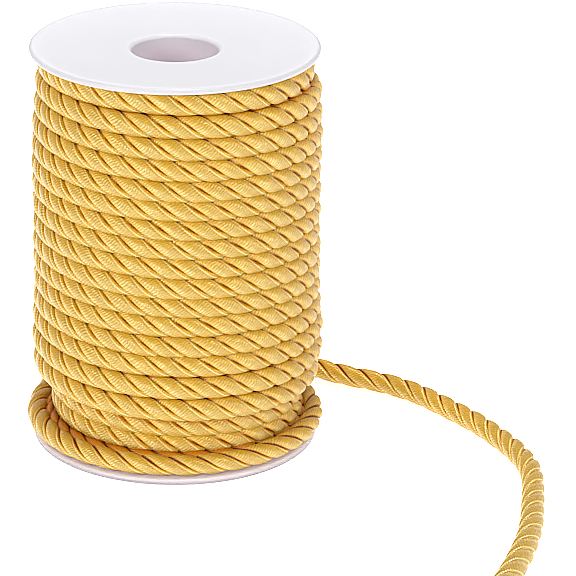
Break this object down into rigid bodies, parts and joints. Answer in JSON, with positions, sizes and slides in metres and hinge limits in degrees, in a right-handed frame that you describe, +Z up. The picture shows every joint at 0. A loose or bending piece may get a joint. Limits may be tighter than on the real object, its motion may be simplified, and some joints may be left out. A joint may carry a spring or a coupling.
{
  "type": "twisted cord on a spool",
  "caption": "Golden twisted satin cord wound on a plain white flanged spool, with a loose end that lies in an arc on the surface.",
  "frame": {"origin": "centre of the bottom flange's underside, on the spool's axis", "axes": "+Z up along the spool's axis, -Y towards the front, +X towards the side where the loose end lies"},
  "size_m": [0.1194, 0.1466, 0.0959],
  "materials": {
    "spool_plastic": "smooth white moulded plastic with a soft gloss",
    "satin_cord": "golden satin thread, wrapped across three twisted strands"
  },
  "bodies": {
    "root": {"hub": "spool_plastic", "top_flange": "spool_plastic", "bottom_flange": "spool_plastic", "wound_cord": "satin_cord", "loose_end": "satin_cord"}
  },
  "joints": []
}
